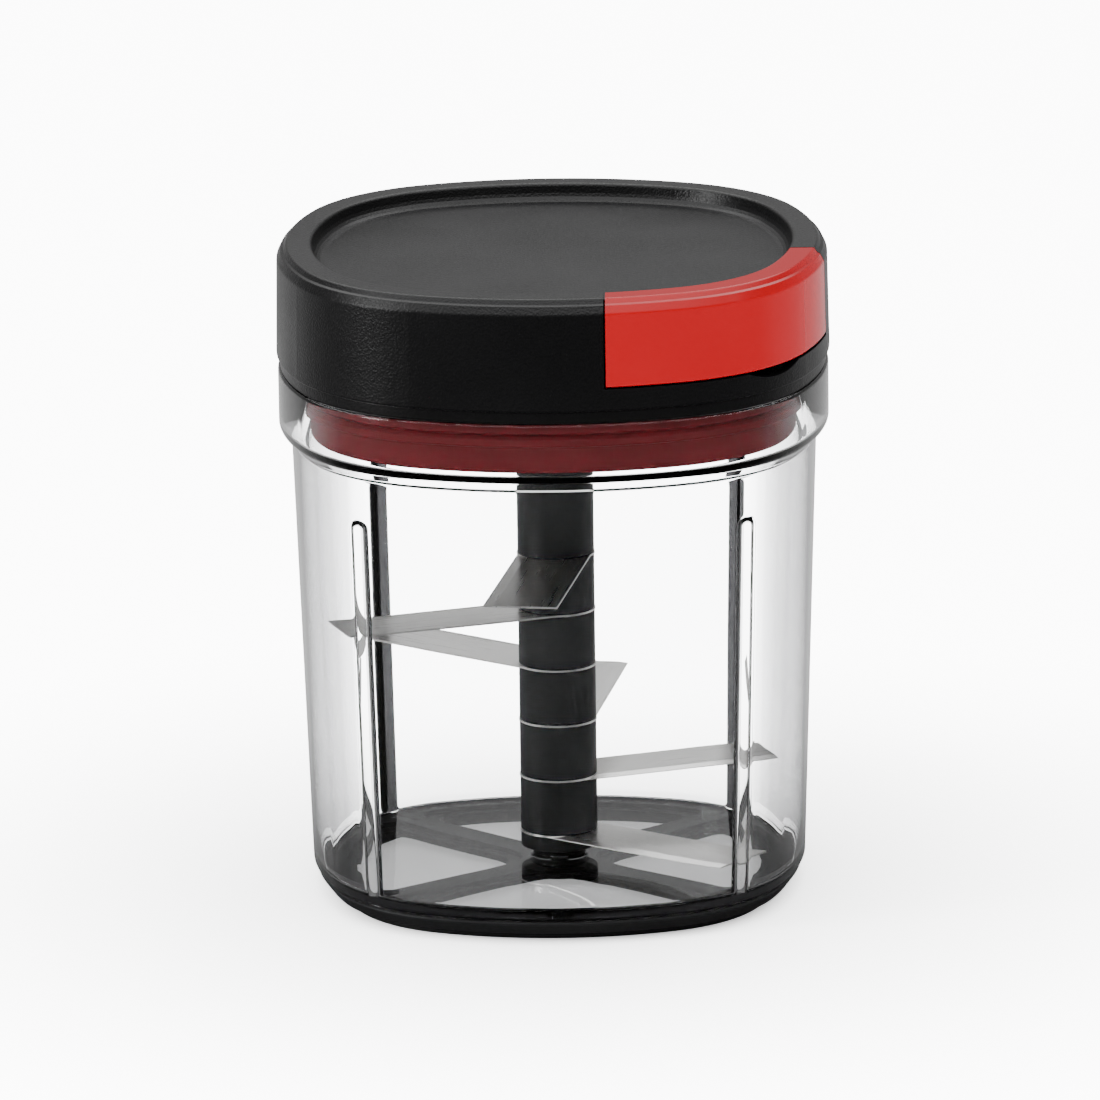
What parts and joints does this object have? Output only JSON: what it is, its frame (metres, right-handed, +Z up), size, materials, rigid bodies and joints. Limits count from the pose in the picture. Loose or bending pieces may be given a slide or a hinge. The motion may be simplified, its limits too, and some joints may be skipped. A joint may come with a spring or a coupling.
{
  "type": "pull-string food chopper",
  "caption": "Hand-pulled food chopper: clear soft-square bowl on a non-slip mat, stacked flat blades on a shaft, and a lid with a sprung cord reel and a corner pull handle.",
  "frame": {"origin": "on the blade axis, at the underside of the base mat", "axes": "+Z up along the blade axis, the pictured front faces -Y, the pull handle is at the +X -Y corner"},
  "size_m": [0.124, 0.124, 0.1485],
  "materials": {
    "clear_plastic": "clear, polished",
    "black_plastic": "fine texture",
    "shaft_plastic": "satin",
    "mat_rubber": "satin",
    "red_plastic": "gloss",
    "red_silicone": "satin",
    "white_plastic": "satin",
    "blade_steel": "polished",
    "pin_steel": "turned",
    "cord": "braided"
  },
  "bodies": {
    "bowl": {"bowl": "clear_plastic", "pivot_pin": "pin_steel", "base_mat": "mat_rubber"},
    "lid": {"lid_cover": "black_plastic", "lid_base": "black_plastic", "seal_ring": "red_silicone", "lid_screws": "pin_steel", "cord_eyelet": "pin_steel", "reel_axle": "pin_steel", "reel_washer": "pin_steel", "power_spring": "pin_steel", "cord_run": "cord"},
    "reel": {"reel": "white_plastic", "drive_socket": "white_plastic", "spring_cover": "pin_steel", "cord_winding": "cord"},
    "handle": {"pull_handle": "red_plastic", "cord_ferrule": "pin_steel", "cord_lead": "cord"},
    "blades": {"shaft_core": "shaft_plastic", "shaft_tube": "shaft_plastic", "blade_1": "blade_steel", "blade_2": "blade_steel", "blade_3": "blade_steel", "blade_4": "blade_steel", "blade_5": "blade_steel", "blade_6": "blade_steel", "spacer_1": "shaft_plastic", "spacer_2": "shaft_plastic", "spacer_3": "shaft_plastic", "spacer_4": "shaft_plastic", "spacer_5": "shaft_plastic"}
  },
  "joints": [
    {"name": "lid_lift", "type": "slide", "parent": "bowl", "child": "lid", "axis": [0, 0, 1], "range_m": [0, 0.09]},
    {"name": "handle_pull", "type": "slide", "parent": "lid", "child": "handle", "axis": [0.7071, -0.7071, 0], "range_m": [0, 0.44], "stiffness_N_per_m": 12, "springref_m": -0.25, "deforming": ["cord_lead"]},
    {"name": "reel_spin", "type": "hinge", "parent": "lid", "child": "reel", "pos_m": [0, 0, 0.13], "axis": [0, 0, 1], "range_deg": [-1260, 0], "deforming": ["cord_winding", "power_spring"]},
    {"name": "blade_spin", "type": "hinge", "parent": "bowl", "child": "blades", "pos_m": [0, 0, 0.05], "axis": [0, 0, 1], "range_deg": [-1260, 0]}
  ],
  "couplings": [
    {"joint": "reel_spin", "follows": "handle_pull", "rad_per_m": -49.875},
    {"joint": "blade_spin", "follows": "handle_pull", "rad_per_m": -49.875}
  ]
}
